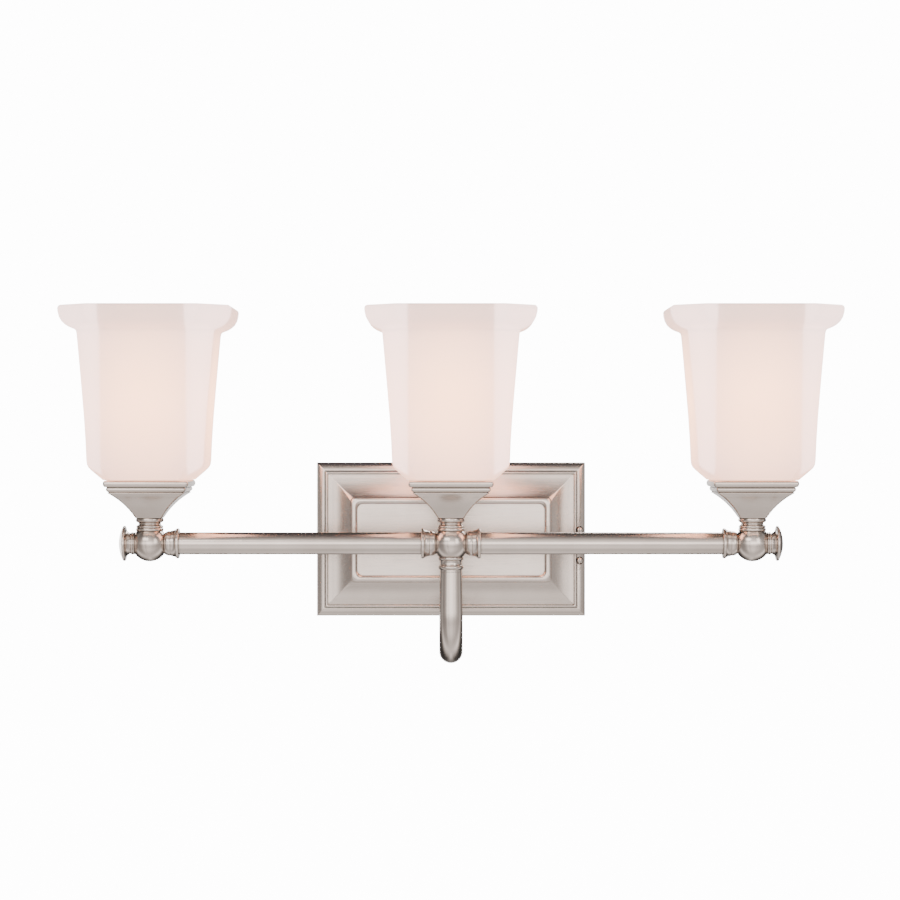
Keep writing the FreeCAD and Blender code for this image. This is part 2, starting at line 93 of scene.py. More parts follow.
def arc(start, through, end):
    """Points after start on the arc through a second point to the end."""
    (ax, ay), (bx, by), (cx, cy) = start, through, end
    d = 2 * (ax * (by - cy) + bx * (cy - ay) + cx * (ay - by))
    a2, b2, c2 = ax * ax + ay * ay, bx * bx + by * by, cx * cx + cy * cy
    ox = (a2 * (by - cy) + b2 * (cy - ay) + c2 * (ay - by)) / d
    oy = (a2 * (cx - bx) + b2 * (ax - cx) + c2 * (bx - ax)) / d
    radius = math.hypot(ax - ox, ay - oy)
    first = math.atan2(ay - oy, ax - ox)
    turn = 2 * math.pi
    to_middle = (math.atan2(by - oy, bx - ox) - first) % turn
    to_end = (math.atan2(cy - oy, cx - ox) - first) % turn
    if to_middle > to_end:
        to_end -= turn
    count = max(3, math.ceil(abs(to_end) / ARC_STEP))
    angles = [first + to_end * k / count for k in range(1, count + 1)]
    return [(ox + radius * math.cos(t), oy + radius * math.sin(t)) for t in angles]


def outline(points):
    """Fine outline through points. A pair of points is an arc through the first to the second."""
    fine = [points[0]]
    for step in points[1:]:
        if isinstance(step[0], tuple):
            fine += arc(fine[-1], *step)
        else:
            fine.append(step)
    return fine


def crown(edge_r, edge_z, top_z):
    """Last step of an outline: a round cap from its edge to its top on the axis."""
    rise = top_z - edge_z
    radius = (edge_r ** 2 + rise ** 2) / (2 * rise)
    half_angle = math.asin(edge_r / abs(radius)) / 2
    return ((abs(radius) * math.sin(half_angle), top_z - radius + radius * math.cos(half_angle)), (0, top_z))


def solid(name, rings, place=UPRIGHT, at=None):
    """Mesh through rings of equal counts of points, closed from the last ring back to the first."""
    made = bmesh.new()
    count = len(rings[0])
    verts = [[made.verts.new(p) for p in ring] for ring in rings]
    for low, high in zip(verts, verts[1:] + verts[:1]):
        for k in range(count):
            made.faces.new((low[k], low[(k + 1) % count], high[(k + 1) % count], high[k]))
    bmesh.ops.remove_doubles(made, verts=made.verts, dist=1e-4)
    bmesh.ops.recalc_face_normals(made, faces=made.faces)
    for f in made.faces:
        f.smooth = True
    mesh = bpy.data.meshes.new(name)
    made.to_mesh(mesh)
    made.free()
    mesh.transform(Matrix.Translation(at or Vector()) @ place @ Matrix.Scale(MM, 4))
    piece = bpy.data.objects.new(name, mesh)
    bpy.context.scene.collection.objects.link(piece)
    return piece


def skin(name, rings, body, node, place=UPRIGHT, at=None, material=None, bevel=0.25):
    """Finished piece through rings, which stands for a CAD node. bevel is in millimetres."""
    piece = solid(name, rings, place, at)
    if bevel:
        soften(piece, bevel)
    return finish_piece(piece, body, node, material)


def cut_away(piece, cutters):
    """Cuts the cutters out of a piece and bakes its modifiers into its mesh."""
    for cutter in cutters:
        cut = piece.modifiers.new("cut", "BOOLEAN")
        cut.object = cutter
        cut.solver = "EXACT"
    even = piece.modifiers.new("even", "WEIGHTED_NORMAL")
    even.mode = "FACE_AREA"
    bpy.context.view_layer.update()
    baked = bpy.data.meshes.new_from_object(piece.evaluated_get(bpy.context.evaluated_depsgraph_get()))
    piece.modifiers.clear()
    whole, piece.data = piece.data, baked
    bpy.data.meshes.remove(whole)
    for cutter in cutters:
        mesh = cutter.data
        bpy.data.objects.remove(cutter)
        bpy.data.meshes.remove(mesh)


def soften(piece, width):
    """Rounds the sharp edges by this many millimetres."""
    edge = piece.modifiers.new("edges", "BEVEL")
    edge.width = width * MM
    edge.segments = 3
    edge.limit_method = "ANGLE"
    edge.angle_limit = math.radians(22)
    edge.harden_normals = True


def finish_piece(piece, body, node, material):
    piece.data.materials.append(material)
    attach(piece, body)
    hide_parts(node)
    return piece


SLOT_OF = {s["node"]: s["material_slot"] for s in frame["record"]["subparts"]}
TURNS = 96


def turned_rings(points, turns=TURNS):
    """Rings of a solid of revolution about Z, from (radius, height) points."""
    angles = [2 * math.pi * k / turns for k in range(turns)]
    return [[(r * math.cos(t), r * math.sin(t), z) for t in angles] for r, z in outline(points)]


def turned(name, points, body, node, **options):
    """Finished solid of revolution; the options are those of skin."""
    return skin(name, turned_rings(points), body, node, **options)


def clipped(half_x, half_y, clip, soft, z, steps=6):
    """Ring round a rectangle whose corners are clipped by clip, with its eight edges rounded by soft."""
    chamfer = (half_x + half_y - clip) / math.sqrt(2)
    offsets = [half_x, chamfer, half_y, chamfer] * 2
    eighth = math.pi / 4
    ring = []
    for k in range(8):
        a, b = k * eighth, (k + 1) * eighth
        d0, d1 = offsets[k] - soft, offsets[(k + 1) % 8] - soft
        x = (d0 * math.sin(b) - d1 * math.sin(a)) / math.sin(eighth)
        y = (d1 * math.cos(a) - d0 * math.cos(b)) / math.sin(eighth)
        for i in range(steps + 1):
            t = a + eighth * i / steps
            ring.append((x + soft * math.cos(t), y + soft * math.sin(t), z))
    return ring


CORNER = 2 - math.sqrt(2)  # the clip, for each unit of radius, that makes a plain round corner


def rounded(half_x, half_y, radius, z, steps=6):
    """Ring round a rectangle with round corners."""
    return clipped(half_x, half_y, CORNER * radius, radius, z, steps)


def circle(radius, z, steps=6):
    return rounded(radius, radius, radius, z, steps)


# Materials
def new_material(name):
    material = bpy.data.materials.new(name)
    material.use_nodes = True
    tree = material.node_tree
    return material, tree, tree.nodes["Principled BSDF"]


def node(tree, kind, inputs=None, **settings):
    made = tree.nodes.new(kind)
    for key, value in settings.items():
        setattr(made, key, value)
    for key, value in (inputs or {}).items():
        if isinstance(value, bpy.types.NodeSocket):
            tree.links.new(value, made.inputs[key])
        else:
            made.inputs[key].default_value = value
    return made


def ramp(tree, value, stops):
    """Colour from a value of 0 to 1, through (place, colour) stops."""
    made = node(tree, "ShaderNodeValToRGB", {"Fac": value})
    points = made.color_ramp.elements
    while len(points) < len(stops):
        points.new(0.5)
    for point, (place, colour) in zip(points, stops):
        point.position = place
        point.color = (*colour, 1)
    return made.outputs["Color"]


def spread(tree, value, low, high, from_low=0.0, from_high=1.0):
    """Value moved from one range to another, and held at its ends."""
    made = node(tree, "ShaderNodeMapRange", {
        "Value": value, "From Min": from_low, "From Max": from_high, "To Min": low, "To Max": high})
    return made.outputs["Result"]


def mix(tree, share, a, b):
    """Colour between a, at a share of 0, and b, at 1."""
    made = node(tree, "ShaderNodeMix", {"Factor": share, "A": a, "B": b}, data_type="RGBA")
    return [o for o in made.outputs if o.type == "RGBA"][0]


def stretched_noise(tree, scales, detail=3.0, roughness=0.6):
    """Noise with a scale of its own along each axis of the frame, in cycles per metre."""
    place = node(tree, "ShaderNodeTexCoord").outputs["Object"]
    stretch = node(tree, "ShaderNodeMapping", {"Vector": place, "Scale": scales})
    made = node(tree, "ShaderNodeTexNoise", {
        "Vector": stretch.outputs["Vector"], "Scale": 1.0, "Detail": detail, "Roughness": roughness})
    return made.outputs["Fac"]


def bump(tree, height, strength, distance):
    made = node(tree, "ShaderNodeBump", {"Height": height, "Strength": strength, "Distance": distance})
    return made.outputs["Normal"]


def crevice(tree, reach):
    """Ambient occlusion: 1 in the open, less in narrow grooves and inner corners; the materials use it to paint
    shade there.
    """
    return node(tree, "ShaderNodeAmbientOcclusion", {"Distance": reach}, samples=6).outputs["AO"]


def metal(name, dark, light, roughness, brush, brush_depth=0.00001, painted_crevice_shade=(0.20, 0.17, 0.15)):
    """Brushed metal, with painted shade darkening its grooves and inner corners. brush holds the brush marks' cycles
    per metre along X, Y and Z.
    """
    material, tree, shader = new_material(name)
    marks = stretched_noise(tree, brush, 4.0, 0.7)
    clouds = stretched_noise(tree, (22, 22, 22), 3.0)
    tone = ramp(tree, clouds, [(0.3, dark), (0.7, light)])
    streak = spread(tree, marks, 0.95, 1.04, 0.25, 0.75)
    tinted = node(tree, "ShaderNodeVectorMath", {0: tone, "Scale": streak}, operation="SCALE").outputs[0]
    # Painted shade: the colour turns to the dark crevice colour where ambient occlusion finds grooves and inner
    # corners
    open_to_light = spread(tree, crevice(tree, 0.0022), 0.0, 1.0, 0.35, 0.85)
    tree.links.new(mix(tree, open_to_light, (*painted_crevice_shade, 1), tinted), shader.inputs["Base Color"])
    shader.inputs["Metallic"].default_value = 1.0
    rough = spread(tree, marks, roughness - 0.05, roughness + 0.06, 0.3, 0.7)
    tree.links.new(rough, shader.inputs["Roughness"])
    tree.links.new(bump(tree, marks, 0.35, brush_depth), shader.inputs["Normal"])
    return material


def moulded(name, colour, roughness, grain=900.0):
    """Moulded plastic or fired ceramic, with a faint mottle and a fine skin."""
    material, tree, shader = new_material(name)
    clouds = stretched_noise(tree, (60, 60, 60))
    fine = stretched_noise(tree, (grain,) * 3, 2.0)
    low = tuple(c * 0.88 for c in colour)
    tree.links.new(ramp(tree, clouds, [(0.3, low), (0.7, colour)]), shader.inputs["Base Color"])
    tree.links.new(spread(tree, fine, roughness - 0.08, roughness + 0.08, 0.3, 0.7), shader.inputs["Roughness"])
    tree.links.new(bump(tree, fine, 0.25, 0.00003), shader.inputs["Normal"])
    return material


NICKEL_DARK = (0.54, 0.46, 0.41)
NICKEL_LIGHT = (0.63, 0.545, 0.49)
LENGTHWISE = (25, 2600, 2600)
ROUND_X = (3200, 60, 60)
ROUND_Z = (60, 60, 3200)
PLATE_BRUSH = (40, 1500, 2200)
nickel_bar = metal("satin_nickel_bar", NICKEL_DARK, NICKEL_LIGHT, 0.20, LENGTHWISE)
nickel_x = metal("satin_nickel_turned_x", NICKEL_DARK, NICKEL_LIGHT, 0.20, ROUND_X)
nickel_z = metal("satin_nickel_turned_z", NICKEL_DARK, NICKEL_LIGHT, 0.20, ROUND_Z)
nickel_plate = metal("satin_nickel_plate", NICKEL_DARK, NICKEL_LIGHT, 0.24, PLATE_BRUSH)
nickel_arm = metal("satin_nickel_arm", NICKEL_DARK, NICKEL_LIGHT, 0.20, (2400, 60, 60))
zinc = metal("zinc_plate", (0.50, 0.51, 0.50), (0.66, 0.66, 0.62), 0.38, (90, 90, 90), painted_crevice_shade=(0.2, 0.2, 0.2))
brass = metal("brass_plain", (0.66, 0.46, 0.20), (0.80, 0.60, 0.30), 0.30, (300, 300, 2500), painted_crevice_shade=(0.3, 0.2, 0.08))
cap_metal = metal("bulb_cap_metal", (0.68, 0.68, 0.67), (0.84, 0.84, 0.82), 0.22, (40, 40, 2500))
green_paint = moulded("green_paint", (0.03, 0.22, 0.07), 0.35)
porcelain = moulded("porcelain_glaze", (0.88, 0.86, 0.80), 0.18)
phenolic = moulded("phenolic_moulded", (0.80, 0.77, 0.70), 0.42)
vitrite = moulded("vitrite_glass", (0.015, 0.015, 0.02), 0.12)
black_wire = moulded("black_wire_skin", (0.02, 0.02, 0.02), 0.4)
white_wire = moulded("white_wire_skin", (0.80, 0.80, 0.77), 0.4)
green_wire = moulded("green_wire_skin", (0.02, 0.30, 0.08), 0.4)
connector_plastic = moulded("connector_plastic", (0.80, 0.28, 0.03), 0.45)

BULB_MIDDLE = HUB.z + 110 * MM
# Strength of the painted glow of the bulb on the opal glass
OPAL_PAINTED_GLOW = 3.8


def opal_glass():
    """Etched opal glass: pale and pinkish, with faint streaks of the melt; lets some of the bulb's light through,
    and carries a painted glow of the bulb, paler on the corner panes, and painted shade in its crevices.
    """
    material, tree, shader = new_material("opal_glass_etched")
    melt = stretched_noise(tree, (9, 9, 26), 2.0, 0.5)
    pinkish = ramp(tree, melt, [(0.3, (0.72, 0.57, 0.54)), (0.7, (0.77, 0.615, 0.59))])
    # Painted shade: dark pinkish-brown where ambient occlusion finds crevices, as where the glass sits in the fitter
    clear = spread(tree, crevice(tree, 0.003), 0.0, 1.0, 0.3, 0.8)
    tree.links.new(mix(tree, clear, (0.30, 0.19, 0.17, 1), pinkish), shader.inputs["Base Color"])
    fine = stretched_noise(tree, (1400, 1400, 1400), 2.0)
    tree.links.new(spread(tree, fine, 0.30, 0.42, 0.3, 0.7), shader.inputs["Roughness"])
    tree.links.new(bump(tree, fine, 0.12, 0.00002), shader.inputs["Normal"])
    shader.inputs["Coat Weight"].default_value = 0.12
    shader.inputs["Coat Roughness"].default_value = 0.2
    # Painted light: a warm glow of the bulb, strongest on the glass nearest the bulb's middle and fading with
    # distance from it
    place = node(tree, "ShaderNodeTexCoord").outputs["Object"]
    parts = node(tree, "ShaderNodeSeparateXYZ", {0: place})
    half_row = (AXIS["right"].x - AXIS["centre"].x) / 2
    across = node(tree, "ShaderNodeMath", {0: parts.outputs["X"], 1: half_row, 2: -half_row}, operation="WRAP")
    out = node(tree, "ShaderNodeMath", {0: parts.outputs["Y"], 1: AXIS_Y}, operation="SUBTRACT")
    up = node(tree, "ShaderNodeMath", {0: parts.outputs["Z"], 1: BULB_MIDDLE}, operation="SUBTRACT")
    squat = node(tree, "ShaderNodeMath", {0: up.outputs[0], 1: 0.75}, operation="MULTIPLY")
    from_bulb = node(tree, "ShaderNodeCombineXYZ", {0: across.outputs[0], 1: out.outputs[0], 2: squat.outputs[0]})
    distance = node(tree, "ShaderNodeVectorMath", {0: from_bulb.outputs[0]}, operation="LENGTH").outputs["Value"]
    glow = ramp(tree, spread(tree, distance, 0.0, 1.0, 40 * MM, 84 * MM), [
        (0.0, (1.0, 0.57, 0.31)), (0.25, (0.80, 0.48, 0.31)), (0.55, (0.52, 0.345, 0.275)),
        (1.0, (0.33, 0.24, 0.22))])
    # Painted light: the clipped corner panes glow paler and pinker than the flat sides
    sideways = node(tree, "ShaderNodeMath", {0: across.outputs[0]}, operation="ABSOLUTE")
    outwards = node(tree, "ShaderNodeMath", {0: out.outputs[0]}, operation="ABSOLUTE")
    lesser = node(tree, "ShaderNodeMath", {0: sideways.outputs[0], 1: outwards.outputs[0]}, operation="MINIMUM")
    corner_pane_painted_light = spread(tree, lesser.outputs[0], 0.0, 0.85, 29.6 * MM, 31.4 * MM)
    tree.links.new(mix(tree, corner_pane_painted_light, glow, (0.86, 0.665, 0.64, 1)), shader.inputs["Emission Color"])
    shader.inputs["Emission Strength"].default_value = OPAL_PAINTED_GLOW
    through = node(tree, "ShaderNodeBsdfTranslucent", {"Color": (0.97, 0.84, 0.76, 1)})
    both = node(tree, "ShaderNodeMixShader", {0: 0.35, 1: shader.outputs[0], 2: through.outputs[0]})
    tree.links.new(both.outputs[0], tree.nodes["Material Output"].inputs["Surface"])
    return material


def lit_bulb():
    """Frosted bulb, lit: brightest round the middle of the globe."""
    material, tree, shader = new_material("bulb_glass_lit")
    frost = stretched_noise(tree, (700, 700, 700), 2.0)
    tree.links.new(ramp(tree, frost, [(0.3, (0.93, 0.90, 0.86)), (0.7, (1, 0.98, 0.95))]),
                   shader.inputs["Base Color"])
    tree.links.new(spread(tree, frost, 0.35, 0.5), shader.inputs["Roughness"])
    height = node(tree, "ShaderNodeSeparateXYZ", {0: node(tree, "ShaderNodeTexCoord").outputs["Object"]})
    glow = spread(tree, height.outputs["Z"], 0.25, 1.0, HUB.z + 70 * MM, HUB.z + 105 * MM)
    tree.links.new(spread(tree, glow, 0.0, BULB_POWER), shader.inputs["Emission Strength"])
    shader.inputs["Emission Color"].default_value = (1.0, 0.80, 0.58, 1)
    return material


BULB_POWER = 9.0
opal = opal_glass()
bulb_frost = lit_bulb()

CAD_FINISH = {
    "satin_nickel": nickel_z, "opal_glass": opal, "bulb_glass": bulb_frost, "cap_metal": cap_metal, "brass": brass,
    "zinc_steel": zinc, "green_screw": green_paint, "porcelain": porcelain, "phenolic": phenolic,
    "vitrite": vitrite, "black_insulation": black_wire, "white_insulation": white_wire,
    "green_insulation": green_wire, "connector_plastic": connector_plastic}
for name, cad in NODES.items():
    for slot in cad.material_slots:
        slot.material = CAD_FINISH[SLOT_OF[name]]


# Wall plate
PLATE_OUTLINE = [
    (0, 0), (0, 8.6), ((1.7, 12.9), (5.6, 15.0)), (6.1, 15.0), (6.3, 14.1), (6.8, 14.1), (7.0, 15.7),
    ((7.8, 16.4), (8.6, 15.7)), (8.8, 15.2), (9.2, 15.4),
    ((18.5, 17.6), (26.0, 22.6)), ((27.2, 24.3), (28.6, 24.6)), ((30.3, 24.1), (31.0, PANEL_FRONT))]
PLATE_BACK = [(26.4, 20.9), ((18.5, 16.3), (9.0, 14.0)), (5.0, 13.2), (1.6, 7.0), (1.6, 0)]


PANEL_HOLE_R, PANEL_SHEET = 5.1, 1.6
SCREW_HEAD_R, SCREW_SEAT, SCREW_HOLE_R = 2.7, 12.4, 1.8
RECESS_R, RECESS_TOP, BOSS_LOW = 3.0, 20.0, 2.0
PIN_R, PIN_HOLE_R = 2.0, 2.1
DRILL_TURNS = 36


def from_ends(low_and_high, radius):
    """Heights of the centres of two round things whose box is known, the lower one first."""
    low, high = low_and_high
    return low.z + radius * MM, high.z - radius * MM


def plate():
    """Moulded plate with a recess for each screw head and two pin holes in its left rim."""
    half_x = (PLATE_HIGH.x - PLATE_LOW.x) / MM / 2
    half_z = (PLATE_HIGH.z - PLATE_LOW.z) / MM / 2

    def corner(inset):
        return 0.6 + 3.9 * min(1.0, max(0.0, (inset - 20.0) / 8.0))

    rings = [rounded(half_x - s, half_z - s, corner(s), h, 3) for s, h in outline(PLATE_OUTLINE)]
    rings += [circle(PANEL_HOLE_R, h, 3) for h in (PANEL_FRONT, PANEL_FRONT - PANEL_SHEET)]
    rings += [rounded(half_x - s, half_z - s, 0.5, h, 3) for s, h in outline(PLATE_BACK)]
    piece = skin("backplate_visual", rings, "fixture", "backplate", TO_FRONT, Vector((0, 0, 0)), nickel_plate, 0.18)

    recess = turned_rings([(0, 1.0), (SCREW_HOLE_R, 1.0), (SCREW_HOLE_R, SCREW_SEAT), (RECESS_R, SCREW_SEAT),
                           (RECESS_R, RECESS_TOP), (0, RECESS_TOP)], DRILL_TURNS)
    boss = [(SCREW_HOLE_R, BOSS_LOW), (RECESS_R, BOSS_LOW), (RECESS_R, SCREW_SEAT), (SCREW_HOLE_R, SCREW_SEAT)]
    pin_hole = turned_rings([(0, -2.6), (PIN_HOLE_R, -2.6), (PIN_HOLE_R, 1.0), (0, 1.0)], DRILL_TURNS)
    screw_x, pin_y = middle("plate_screws").x, middle("locating_pins").y
    screw_heights = from_ends(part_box("plate_screws"), SCREW_HEAD_R)
    pin_heights = from_ends(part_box("locating_pins"), PIN_R)
    cutters = []
    for k in range(2):
        head = Vector((screw_x, 0, screw_heights[k]))
        cutters.append(solid(f"cutter_screw_{k}", recess, TO_FRONT, head))
        turned(f"backplate_boss_{k}_visual", boss, "fixture", "backplate", place=TO_FRONT, at=head,
               material=nickel_plate, bevel=0.1)
        pin = Vector((PLATE_LOW.x, pin_y, pin_heights[k]))
        cutters.append(solid(f"cutter_pin_{k}", pin_hole, along_x(-1), pin))
    cut_away(piece, cutters)


plate()


# Turned fittings, each made along +Z from the centre of its ball
BORE = 4.9
NECK = [
    (BORE, 9.6), (9.3, 9.05), (9.7, 9.1), ((10.0, 10.0), (9.7, 10.9)), (9.3, 11.3), ((9.75, 12.1), (9.2, 12.9)),
    (8.5, 13.4), ((8.0, 14.2), (8.5, 15.1)), (9.4, 15.5), ((10.1, 16.9), (9.5, 18.4)), (BORE, 18.4)]
CUP = [
    (BORE, 12.2), (7.4, 10.75), ((8.6, 12.6), (8.9, 14.6)), (8.9, 15.4), (9.2, 15.6), (9.4, 17.0),
    ((10.0, 18.6), (10.9, 19.6)), (10.9, 20.7), ((10.7, 21.2), (10.2, 21.4)), (8.1, 21.4), (8.1, 14.0),
    (BORE, 14.0)]
FINIAL = [
    (0, 13.1), (7.6, 10.6), ((8.05, 11.2), (7.7, 11.8)), ((8.1, 12.6), (7.6, 13.4)), ((7.5, 14.0), (7.8, 14.6)),
    ((9.1, 16.3), (12.0, 17.2)), ((12.55, 17.5), (12.7, 18.1)), ((12.6, 18.8), (12.0, 19.2)),
    crown(12.0, 19.2, 22.2)]
COLLAR = [
    (BORE, 12.2), (8.6, 9.8), ((9.15, 10.8), (8.6, 12.0)), (8.0, 12.4), ((7.75, 14.0), (8.0, 15.6)),
    ((9.1, 17.0), (8.6, 18.4)), (7.9, 18.9), (7.9, 20.6), (6.4, 20.6), (6.4, 27.0), (BORE, 27.0)]
BALL = [(0, -13.0), ((13.0, 0), (0, 13.0))]
DOWN = Matrix.Rotation(math.radians(180), 4, "X")

turned("hub_visual", BALL, "fixture", "hub", at=HUB, material=nickel_z, bevel=0)
turned("hub_collar_visual", COLLAR, "fixture", "hub_collar", place=DOWN, at=HUB, material=nickel_z)
for name in LIGHTS:
    turned(f"neck_{name}_visual", NECK, "fixture", f"neck_{name}", at=AXIS[name], material=nickel_z)
for name, side in SIDES.items():
    end = AXIS[name]
    turned(f"end_ball_{name}_visual", BALL, "fixture", f"end_ball_{name}", at=end, material=nickel_z, bevel=0)
    turned(f"finial_{name}_visual", FINIAL, "fixture", f"finial_{name}", place=along_x(side), at=end,
           material=nickel_x)
    turned(f"hub_cup_{name}_visual", CUP, "fixture", f"hub_cup_{name}", place=along_x(side), at=HUB,
           material=nickel_x)
    turned(f"end_cup_{name}_visual", CUP, "fixture", f"end_cup_{name}", place=along_x(-side), at=end,
           material=nickel_x)
    reach = (end - HUB).length / MM - 14.0
    tube = [(7.0, 14.0), (8.0, 14.0), (8.0, reach), (7.0, reach)]
    turned(f"bar_{name}_visual", tube, "fixture", f"bar_{name}", place=along_x(side), at=HUB, material=nickel_bar)
rosette = [(8.6, 0), (11.5, 0), (11.5, 1.3), ((10.9, 2.7), (9.6, 3.4)), (8.6, 3.4)]
turned("arm_rosette_visual", rosette, "fixture", "arm_rosette", place=TO_FRONT,
       at=Vector((HUB.x, -22.5 * MM, HUB.z)), material=nickel_z)


# Arm: a tube along straight runs and arcs in the plane x = 0
ARM_REAR = 50.0
ARM_DROP = 80.0
ARM_TURN = 18.0
COLLAR_END = 20.6
ARM_TOP_R, ARM_R, ARM_BORE_R = 7.9, 8.5, 6.5


def arm_route():
    """(y, z, heading) along the arm's centre line, from the hub's collar to the plate."""
    front = -HUB.y / MM
    leg = (front - ARM_REAR) / 2
    bend = leg - ARM_DROP
    route = [(-front, -COLLAR_END + (bend + COLLAR_END) * k / 12, -math.pi / 2) for k in range(12)]
    for k in range(37):
        turn = math.pi * k / 36
        route.append((-front + leg - leg * math.cos(turn), bend - leg * math.sin(turn), turn - math.pi / 2))
    route += [(-ARM_REAR, bend + (-ARM_TURN - bend) * k / 6, math.pi / 2) for k in range(1, 6)]
    for k in range(19):
        turn = math.pi / 2 * k / 18
        route.append((-ARM_REAR + ARM_TURN - ARM_TURN * math.cos(turn), -ARM_TURN + ARM_TURN * math.sin(turn),
                      math.pi / 2 - turn))
    route.append((-PANEL_FRONT, 0, 0))
    return route, bend


def arm():
    route, bend = arm_route()

    def ring(y, z, heading, radius):
        made = []
        for k in range(64):
            t = 2 * math.pi * k / 64
            out = radius * math.cos(t)
            made.append((radius * math.sin(t), y - out * math.sin(heading), z + out * math.cos(heading)))
        return made

    def outer(z, heading):
        straight = heading == -math.pi / 2
        share = (z + COLLAR_END) / (bend + COLLAR_END) if straight else 1.0
        return ARM_TOP_R + (ARM_R - ARM_TOP_R) * share

    rings = [ring(y, z, h, outer(z, h)) for y, z, h in route]
    rings += [ring(y, z, h, ARM_BORE_R) for y, z, h in reversed(route)]
    return skin("arm_visual", rings, "fixture", "arm", UPRIGHT, Vector((HUB.x, 0, HUB.z)), nickel_arm, 0.2)


arm()


# Fitters and shades
FITTER = [
    (9.5, 18.4), ((16.4, 27.7), (26.3, 35.9)), (26.6, 36.2), ((27.2, 36.4), (27.1, 36.9)), (26.8, 37.2),
    (27.2, 37.5), ((28.4, 39.2), (28.0, 40.5)), (27.9, 40.75), (29.3, 40.95), ((30.4, 43.3), (29.6, 45.4)),
    (28.9, 45.6), (28.9, 43.6), (26.2, 43.6), (25.6, 37.0), ((14.2, 28.4), (7.3, 20.5))]


def fitter(name):
    rings = [circle(BORE, 18.4)] + [rounded(w, w, min(1.6, w / 6), z) for w, z in outline(FITTER)]
    rings.append(circle(BORE, 20.5))
    return skin(f"fitter_{name}_visual", rings, "fixture", f"fitter_{name}", at=AXIS[name], material=nickel_z)


# (height, half-width, half-length of the flat side, rounding of the upright edges)
SHADE_OUTSIDE = [
    (45.9, 31.0, 23.5, 2.0), (47.0, 32.2, 24.2, 2.4), (50.0, 35.6, 26.2, 3.0), (53.0, 38.9, 28.2, 3.5),
    (55.0, 40.7, 29.3, 4.0), (57.0, 41.6, 30.0, 4.0), (60.0, 42.0, 30.3, 4.0), (74.0, 42.6, 30.5, 4.0),
    (91.0, 43.7, 30.5, 4.0), (109.0, 45.2, 30.6, 4.0), (126.0, 46.7, 30.6, 4.0), (144.0, 48.3, 30.8, 3.4),
    (150.5, 48.9, 31.0, 3.0), (152.3, 49.3, 31.2, 3.0), (153.3, 50.2, 31.7, 3.0), (154.0, 51.9, 32.7, 3.2),
    (155.0, 54.2, 34.1, 3.6), (156.6, 56.6, 35.7, 4.0), (158.8, 58.8, 37.4, 4.2), (161.8, 60.4, 38.7, 4.4),
    (165.5, 61.3, 39.4, 4.6), (168.2, 61.5, 39.5, 4.6), (169.6, 60.9, 39.2, 4.6), (170.3, 59.8, 38.6, 4.6)]
SHADE_INSIDE = [
    (170.2, 57.8, 37.6, 4.6), (169.2, 56.8, 37.0, 4.4), (166.0, 55.9, 36.6, 4.2), (161.0, 53.6, 35.2, 4.0),
    (156.0, 49.6, 32.4, 3.6), (150.0, 45.4, 29.8, 3.4), (144.0, 44.2, 29.2, 3.4), (109.0, 41.3, 29.0, 3.4),
    (74.0, 38.6, 28.8, 3.4), (57.0, 37.4, 28.2, 3.4), (51.0, 34.0, 25.6, 3.0), (47.6, 29.0, 21.4, 2.6)]
BOSS = [(43.6, 28.3, 21.6, 2.0), (45.7, 28.5, 21.8, 2.0)]
HOLE_R = 20.6


def shade(name):
    def loops(sections):
        return [clipped(w, w, w - flat, soft, z, 8) for z, w, flat, soft in sections]
    rings = [circle(HOLE_R, 43.6, 8)] + loops(BOSS) + loops(SHADE_OUTSIDE) + loops(SHADE_INSIDE)
    rings.append(circle(HOLE_R, 47.6, 8))
    return skin(f"shade_{name}_visual", rings, f"{name}_shade", f"shade_{name}", at=AXIS[name], material=opal,
                bevel=0)


for name in LIGHTS:
    fitter(name)
    shade(name)


# Bulbs
THREAD_PITCH = 3.63


def threaded(points, depth):
    """Rings of a solid of revolution with a rolled thread where a point's third value is 1."""
    rings = []
    for r, z, cut in points:
        ring = []
        for k in range(TURNS):
            t = 2 * math.pi * k / TURNS
            radius = r + cut * depth * math.sin(2 * math.pi * z / THREAD_PITCH - t)
            ring.append((radius * math.cos(t), radius * math.sin(t), z))
        rings.append(ring)
    return rings


def bulb(name):
    at, body = AXIS[name], f"{name}_bulb"
    low, high = 47.5, 64.5
    steps = 60
    screw = [(12.65, low + (high - low) * k / steps, min(1.0, k / 5, (steps - k) / 5)) for k in range(steps + 1)]
    shell = [(9.6, 43.0, 0), (12.0, 45.0, 0), (12.6, 46.2, 0)] + screw + [
        (12.9, 66.0, 0), (13.0, 67.4, 0), (12.3, 67.5, 0), (12.0, 65.0, 0), (12.0, 47.0, 0), (9.2, 44.0, 0)]
    skin(f"bulb_cap_{name}_visual", threaded(shell, 0.42), body, f"bulb_cap_{name}", at=at, material=cap_metal,
         bevel=0)
    tip = [(0, 38.5), (2.4, 38.6), ((3.2, 38.9), (3.6, 39.8)), ((5.0, 41.0), (9.0, 43.0)), (0, 43.0)]
    turned(f"bulb_tip_{name}_visual", tip, body, f"bulb_tip_{name}", at=at, material=vitrite)
    meets = math.radians(35)  # below the globe's equator, where the neck's flare joins it
    equator = math.radians(30)
    shoulder = (30 * math.cos(meets), 116 - 30 * math.sin(meets))
    glass = [(0, 58.0), (12.0, 58.0), (12.0, 67.5), (13.0, 67.8), ((17.6, 82.0), shoulder),
             ((30 * math.cos(equator), 116 + 30 * math.sin(equator)), (0, 146.0))]
    turned(f"bulb_glass_{name}_visual", glass, body, f"bulb_glass_{name}", at=at, material=bulb_frost, bevel=0)


for name in LIGHTS:
    bulb(name)


